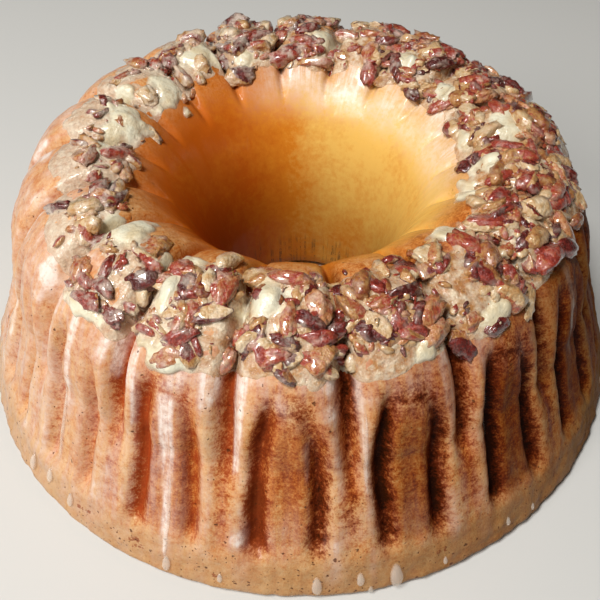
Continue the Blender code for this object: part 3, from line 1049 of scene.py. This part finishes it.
def baked_colour(nodes, seen):
    """Sponge crust from pale to dark brown, with grain and with threads that run down the side."""
    grain_reach = nodes.plus(0.08, nodes.times(seen.brown, 0.20))
    grain_part = nodes.times(nodes.steps(seen.grain, 0.3, 0.7, -1.0, 1.0), grain_reach)
    streak_part = nodes.times(nodes.steps(seen.streak, 0.3, 0.7, -0.13, 0.13), nodes.rest(seen.gold))
    deep = nodes.plus(seen.brown, nodes.steps(seen.mottle, 0.25, 0.75, -0.24, 0.24))
    deep = nodes.plus(nodes.plus(deep, grain_part), streak_part)
    deep = nodes.plus(deep, nodes.steps(seen.patch, 0.3, 0.7, -0.05, 0.05), clamp=True)
    return nodes.ramp(
        deep,
        (
            (0.0, (0.72, 0.44, 0.21)),
            (0.25, (0.63, 0.30, 0.105)),
            (0.46, (0.54, 0.180, 0.038)),
            (0.70, (0.36, 0.072, 0.008)),
            (1.0, (0.12, 0.013, 0.002)),
        ),
    )


def burnt_and_shadowed_crust(nodes, seen, crust):
    """The crust with its ragged dark red stripes, partly scorched crust and partly painted shadow that is
    deepest on the right, and small flecks, and how much of it is so darkened.
    """
    frayed = nodes.plus(seen.stripe, nodes.steps(seen.mottle, 0.3, 0.7, -0.28, 0.28))
    frayed = nodes.plus(frayed, nodes.steps(seen.grain, 0.3, 0.7, -0.20, 0.20))
    core = nodes.steps(frayed, 0.35, 0.90, 0.30, 1.0)
    # Painted shadow: the stripes' core is darker on the right side, away from the light.
    depth = nodes.times(nodes.plus(seen.burn, 0.12), core, clamp=True)
    deep_red = nodes.mix(depth, (0.34, 0.050, 0.012, 1.0), (0.036, 0.0075, 0.0012, 1.0))
    burnt_and_shadowed = nodes.steps(nodes.plus(frayed, nodes.times(seen.burn, 0.12)), 0.24, 0.64)
    share = nodes.times(burnt_and_shadowed, nodes.plus(0.85, nodes.times(seen.burn, 0.13)))
    crust = nodes.mix(share, crust, deep_red)
    flecks = nodes.steps(nodes.noise(seen.place, 1000.0, 5.0, 0.75), 0.56, 0.66)
    return nodes.mix(nodes.times(flecks, 0.45), crust, (0.20, 0.040, 0.008, 1.0)), burnt_and_shadowed


def dried_film(nodes, seen, burnt_and_shadowed):
    """How much milky glaze and painted sheen shows: in threads down the side, and little of it over the
    scorched and shadowed stripes.
    """
    thready = nodes.steps(seen.streak, 0.38, 0.58, 0.40, 1.0)
    thready = nodes.math("MAXIMUM", thready, nodes.times(seen.gold, 0.9))
    film = nodes.times(seen.milk, thready)
    film = nodes.times(film, nodes.steps(seen.mottle, 0.34, 0.64, 1.0, 0.42), clamp=True)
    hidden = nodes.times(burnt_and_shadowed, nodes.steps(seen.milk, 0.25, 0.85, 1.0, 0.15))
    return nodes.times(film, nodes.rest(hidden, clamp=True))


def glazed_crust(nodes, seen, crust, film):
    """The plainer band at the foot, the milky film over all with its painted sheen, whitest as a painted
    highlight, and rough reddish spots.
    """
    toned = nodes.mix(0.55, crust, (0.42, 0.235, 0.100, 1.0))
    crust = nodes.mix(seen.band, crust, toned)
    # Painted highlight: where the film is thickest it turns whiter.
    whiter = nodes.steps(seen.milk, 0.80, 1.15)
    film_colour = nodes.mix(whiter, (0.65, 0.465, 0.395, 1.0), (0.88, 0.77, 0.70, 1.0))
    crust = nodes.mix(nodes.times(film, 0.90), crust, film_colour)
    scabs = nodes.steps(nodes.noise(seen.place, 560.0, 5.0, 0.75), 0.3, 0.7, -1.0, 1.0)
    scabs = nodes.steps(nodes.plus(seen.rough, scabs), 1.0, 1.22)
    return nodes.mix(nodes.times(scabs, 0.85), crust, (0.27, 0.070, 0.024, 1.0))


def hole_colour(nodes, seen, film):
    """The funnel's smooth golden wall, painted deep orange in shade and gold in light, and whitened near its
    rim by glaze and a painted highlight.
    """
    shade = nodes.plus(seen.tone, nodes.steps(seen.mottle, 0.2, 0.8, -0.22, 0.22))
    shade = nodes.plus(shade, nodes.steps(seen.patch, 0.3, 0.7, -0.12, 0.12), clamp=True)
    wall = nodes.ramp(
        shade,
        ((0.0, (0.53, 0.115, 0.007)), (0.5, (0.66, 0.225, 0.018)), (1.0, (0.80, 0.49, 0.115))),
    )
    return nodes.mix(nodes.times(film, 0.8), wall, (0.95, 0.84, 0.72, 1.0))


def darkened(nodes, seen, colour):
    """Darkens the darker side with painted shade, also in its recesses and low in the hole, and adds broken
    brown dashes at the foot of the hole.
    """
    colour = nodes.mix(nodes.times(seen.dark, 0.88), colour, (0.33, 0.25, 0.11, 1.0), "MULTIPLY")
    dashes = nodes.times(nodes.steps(nodes.noise(seen.flow, 300.0, 3.0, 0.6), 0.53, 0.60), seen.foot)
    dashes = nodes.times(dashes, nodes.steps(seen.mottle, 0.45, 0.55))
    return nodes.mix(nodes.times(dashes, 0.70), colour, (0.09, 0.035, 0.008, 1.0))


def crust_pits(nodes, seen, pores):
    """Pores in the crust outside the hole, most in the band at the foot."""
    dense = nodes.plus(0.07, nodes.times(seen.band, 0.26))
    small = placed_pores(nodes, pores, seen.place, 900.0, dense)
    large = placed_pores(nodes, pores, seen.place, 430.0, nodes.times(dense, 0.5))
    return nodes.times(nodes.math("MAXIMUM", small, large), nodes.rest(seen.gold, clamp=True))


def crust_height(nodes, seen, pits, film):
    """The bump's height: grain, pits and threads, weaker in the hole and under the film."""
    height = nodes.plus(nodes.times(seen.grain, 0.40), nodes.times(seen.mottle, 0.55))
    height = nodes.math("SUBTRACT", height, nodes.times(pits, 0.9))
    height = nodes.plus(height, nodes.times(nodes.times(seen.streak, film), 0.9))
    height = nodes.times(height, nodes.rest(nodes.times(seen.gold, 0.75)))
    return nodes.times(height, nodes.rest(nodes.times(film, 0.5)))


def crust_material(pores):
    """Golden-brown sponge crust: dark red hollows, partly scorched crust and partly painted shadow, a dried
    milky film with painted sheen and highlights, painted shade on the right and deep in the hole, pores and a
    wet sheen in patches.
    """
    material, nodes, shader = new_material("baked_crust")
    seen = CrustInputs(nodes)
    crust, burnt_and_shadowed = burnt_and_shadowed_crust(nodes, seen, baked_colour(nodes, seen))
    film = dried_film(nodes, seen, burnt_and_shadowed)
    crust = glazed_crust(nodes, seen, crust, film)
    colour = darkened(nodes, seen, nodes.mix(seen.gold, crust, hole_colour(nodes, seen, film)))
    pits = crust_pits(nodes, seen, pores)
    nodes.set(shader, "Base Color", nodes.mix(nodes.times(pits, 0.85), colour, (0.11, 0.028, 0.008, 1.0)))

    wet = nodes.noise(seen.flow, 210.0, 3.0, 0.6)
    sheen = nodes.rest(nodes.math("MAXIMUM", burnt_and_shadowed, seen.dark), clamp=True)
    gloss = nodes.times(nodes.steps(wet, 0.35, 0.65, 0.10, 0.75), sheen)
    nodes.set(shader, "Coat Weight", nodes.math("MAXIMUM", gloss, nodes.times(film, 0.9)))
    nodes.set(shader, "Roughness", nodes.steps(wet, 0.3, 0.7, 0.62, 0.42))
    set_values(shader, Specular_IOR_Level=0.03, Coat_Roughness=0.13, Coat_IOR=1.4)
    nodes.bump(shader, crust_height(nodes, seen, pits, film), 0.65, 0.0008)
    return material


def nut_skin(nodes, share):
    """Skin from nearly black through wine red to a worn light brown."""
    return nodes.ramp(
        share,
        (
            (0.0, (0.075, 0.008, 0.006)),
            (0.35, (0.20, 0.020, 0.013)),
            (0.65, (0.36, 0.048, 0.026)),
            (0.85, (0.38, 0.11, 0.040)),
            (1.0, (0.50, 0.22, 0.085)),
        ),
    )


def nut_flesh(nodes, share):
    """Flesh from cream through amber to the brown next to the skin."""
    return nodes.ramp(
        share,
        (
            (0.0, (0.72, 0.56, 0.36)),
            (0.28, (0.60, 0.39, 0.19)),
            (0.55, (0.47, 0.23, 0.075)),
            (0.78, (0.33, 0.115, 0.034)),
            (1.0, (0.22, 0.040, 0.016)),
        ),
    )


def nut_material():
    """Chopped nuts, wet with glaze: reddish-brown skin, cream to amber flesh where they broke."""
    material, nodes, shader = new_material("chopped_nut")
    place = object_coordinates(nodes)
    tint = nodes.attribute("tint")
    milk = nodes.attribute("milk")
    fine = nodes.noise(place, 900.0, 4.0, 0.65)
    coarse = nodes.noise(place, 380.0, 3.0, 0.6)
    fine_shift = nodes.steps(fine, 0.3, 0.7, -0.22, 0.22)
    coarse_shift = nodes.steps(coarse, 0.3, 0.7, -0.22, 0.22)

    skin = nut_skin(nodes, nodes.plus(nodes.plus(tint, fine_shift), coarse_shift, clamp=True))
    other = nodes.math("FRACT", nodes.times(tint, 7.3))
    flesh_share = nodes.plus(nodes.times(other, 0.75), 0.12)
    flesh = nut_flesh(nodes, nodes.plus(nodes.plus(flesh_share, fine_shift), coarse_shift))
    ragged = nodes.plus(nodes.attribute("skin"), nodes.steps(coarse, 0.3, 0.7, -0.42, 0.42))
    colour = nodes.mix(nodes.steps(ragged, 0.42, 0.58), flesh, skin)

    # The milky veil is partly glaze and partly a painted reflection, strongest on the left, towards the
    # light.
    patches = nodes.plus(nodes.noise(place, 230.0, 4.0, 0.6), nodes.times(milk, 0.08))
    veil = nodes.times(nodes.steps(patches, 0.50, 0.68), nodes.steps(milk, 0.0, 1.0, 0.24, 0.62))
    nodes.set(shader, "Base Color", nodes.mix(veil, colour, (0.80, 0.70, 0.58, 1.0)))
    nodes.set(shader, "Roughness", nodes.steps(fine, 0.3, 0.7, 0.14, 0.36))
    set_values(shader, Coat_Weight=1.0, Coat_Roughness=0.05)
    nodes.bump(shader, nodes.plus(nodes.times(fine, 0.5), coarse), 0.8, 0.0012)
    return material


def settled_glaze_material():
    """Honey-coloured wet glaze between the nuts, creamier on the left partly as a painted reflection, and
    thick cream-coloured puddles.
    """
    material, nodes, shader = new_material("settled_glaze")
    place = object_coordinates(nodes)
    cream = nodes.attribute("cream")
    milk = nodes.attribute("milk")
    thin = nodes.attribute("thin")
    curds = nodes.noise(place, 480.0, 4.0, 0.6)
    broad = nodes.noise(place, 140.0, 3.0, 0.5)
    thick = nodes.steps(nodes.plus(cream, nodes.steps(curds, 0.3, 0.7, -0.10, 0.10)), 0.10, 0.75)
    uneven = nodes.steps(nodes.noise(place, 250.0, 4.0, 0.65), 0.38, 0.62)
    honey = nodes.mix(uneven, (0.58, 0.29, 0.10, 1.0), (0.97, 0.84, 0.62, 1.0))
    # Partly glaze and partly a painted reflection: the honey turns creamy towards the left.
    honey = nodes.mix(nodes.times(milk, 0.66), honey, (0.93, 0.83, 0.66, 1.0))
    # The puddles' pale greenish cream is partly the glaze's own colour and partly a painted reflection.
    pool = nodes.mix(nodes.steps(broad, 0.40, 0.66), (0.78, 0.74, 0.57, 1.0), (0.70, 0.58, 0.37, 1.0))
    blotch = nodes.steps(nodes.noise(place, 330.0, 5.0, 0.7), 0.54, 0.66, 0.0, 0.42)
    pool = nodes.mix(blotch, pool, (0.55, 0.36, 0.17, 1.0))
    nodes.set(shader, "Base Color", nodes.mix(thick, honey, pool))
    cover = nodes.steps(curds, 0.3, 0.7, 0.36, 0.86)
    cover = nodes.plus(cover, nodes.times(thick, 0.5), clamp=True)
    nodes.set(shader, "Alpha", nodes.times(cover, nodes.steps(thin, 0.10, 0.68, 1.0, 0.0)))
    fine = nodes.noise(place, 1100.0, 3.0, 0.6)
    roughness = nodes.plus(nodes.steps(curds, 0.3, 0.7, 0.05, 0.18), nodes.times(thick, 0.10))
    nodes.set(shader, "Roughness", roughness)
    set_values(shader, Coat_Weight=0.9, Coat_Roughness=0.04)
    height = nodes.plus(curds, nodes.times(fine, 0.4))
    height = nodes.times(height, nodes.rest(nodes.times(thick, 0.45)))
    nodes.bump(shader, height, 0.8, 0.0012)
    return material


def thin_glaze_material():
    """Nearly clear glaze that ran down the flutes."""
    material, nodes, shader = new_material("thin_glaze")
    place = object_coordinates(nodes)
    thin = nodes.attribute("thin")
    streaks = nodes.noise(place, 600.0, 3.0, 0.6)
    nodes.set(shader, "Base Color", nodes.mix(streaks, (0.86, 0.72, 0.60, 1.0), (0.92, 0.86, 0.78, 1.0)))
    cover = nodes.times(nodes.steps(thin, 0.0, 1.0, 0.32, 0.06), nodes.steps(streaks, 0.3, 0.7, 0.6, 1.0))
    nodes.set(shader, "Alpha", cover)
    set_values(shader, Roughness=0.12, Coat_Weight=0.8, Coat_Roughness=0.04)
    return material


def bead_material():
    """Drops of syrup: whitish in the middle, partly as a painted highlight, and clearer and browner at the
    edge.
    """
    material, nodes, shader = new_material("syrup_bead")
    thin = nodes.attribute("thin")
    nodes.set(shader, "Base Color", nodes.mix(thin, (0.95, 0.88, 0.78, 1.0), (0.72, 0.48, 0.28, 1.0)))
    nodes.set(shader, "Alpha", nodes.steps(thin, 0.0, 1.0, 0.36, 0.16))
    set_values(shader, Roughness=0.08, Coat_Weight=1.0, Coat_Roughness=0.03)
    return material


# Studio

FOCAL_LENGTH = 48.0
CAMERA_DISTANCE = 0.3445
CAMERA_ELEVATION = math.radians(46.8)
LOOK_HEIGHT = 0.0082
# Each light: name, direction from the front and height in degrees, distance, size, watts and colour
LIGHTS = (
    ("window", -46.0, 38.0, 1.3, 0.50, 7.0, (1.0, 0.97, 0.93)),
    ("low_window", -84.0, 10.0, 1.2, 0.6, 0.7, (0.98, 0.98, 1.0)),
    ("high_window", -44.0, 64.0, 1.4, 0.34, 17.5, (1.0, 0.99, 0.97)),
)


def add_camera():
    data = bpy.data.cameras.new("view")
    data.sensor_width = 36.0
    data.lens = FOCAL_LENGTH
    data.clip_start = 0.01
    camera = bpy.data.objects.new("view", data)
    bpy.context.scene.collection.objects.link(camera)
    target = Vector((0.0, 0.0, LOOK_HEIGHT))
    back = Vector((0.0, -math.cos(CAMERA_ELEVATION), math.sin(CAMERA_ELEVATION)))
    camera.location = target + back * CAMERA_DISTANCE
    camera.rotation_mode = "QUATERNION"
    camera.rotation_quaternion = (-back).to_track_quat("-Z", "Y")
    bpy.context.scene.camera = camera


def add_light(name, azimuth, elevation, distance, size, watts, colour):
    """A soft square light that faces the cake, placed by its direction from the front."""
    data = bpy.data.lights.new(name, "AREA")
    data.shape = "SQUARE"
    data.size = size
    data.energy = watts
    data.color = colour
    light = bpy.data.objects.new(name, data)
    bpy.context.scene.collection.objects.link(light)
    turn, rise = math.radians(azimuth), math.radians(elevation)
    back = Vector((math.sin(turn) * math.cos(rise), -math.cos(turn) * math.cos(rise), math.sin(rise)))
    light.location = back * distance + Vector((0.0, 0.0, 0.05))
    light.rotation_mode = "QUATERNION"
    light.rotation_quaternion = (-back).to_track_quat("-Z", "Y")


def add_floor():
    bpy.ops.object.select_all(action="DESELECT")
    bpy.ops.mesh.primitive_plane_add(size=6.0, location=(0.0, 0.0, -0.0005))
    floor = bpy.context.active_object
    floor.name = "floor"
    material, _, shader = new_material("floor")
    set_values(shader, Base_Color=(0.62, 0.62, 0.60, 1.0), Roughness=0.7)
    floor.data.materials.append(material)


def add_world():
    world = bpy.data.worlds.new("studio")
    world.use_nodes = True
    background = world.node_tree.nodes["Background"]
    background.inputs["Color"].default_value = (1.0, 0.88, 0.72, 1.0)
    background.inputs["Strength"].default_value = 0.06
    bpy.context.scene.world = world


def build():
    nut = nut_material()
    baked_ring(crust_material(pore_group()))
    heap = Heap()
    large_nuts(heap, nut)
    small_pieces(heap, "nut_chunks", CHUNK_COUNT, CHUNK_LENGTHS, 40, 3, 0.42, SEED + 1, nut)
    small_pieces(heap, "nut_chips", CHIP_COUNT, CHIP_LENGTHS, 24, 1, 0.38, SEED + 3, nut)
    small_pieces(heap, "nut_crumbs", CRUMB_COUNT, CRUMB_LENGTHS, 12, 0, 0.35, SEED + 2, nut)
    settled_glaze(heap, settled_glaze_material())
    runs(thin_glaze_material())
    beads(bead_material())


build()
add_floor()
add_world()
for light_values in LIGHTS:
    add_light(*light_values)
add_camera()
bpy.context.scene.view_settings.view_transform = "Standard"
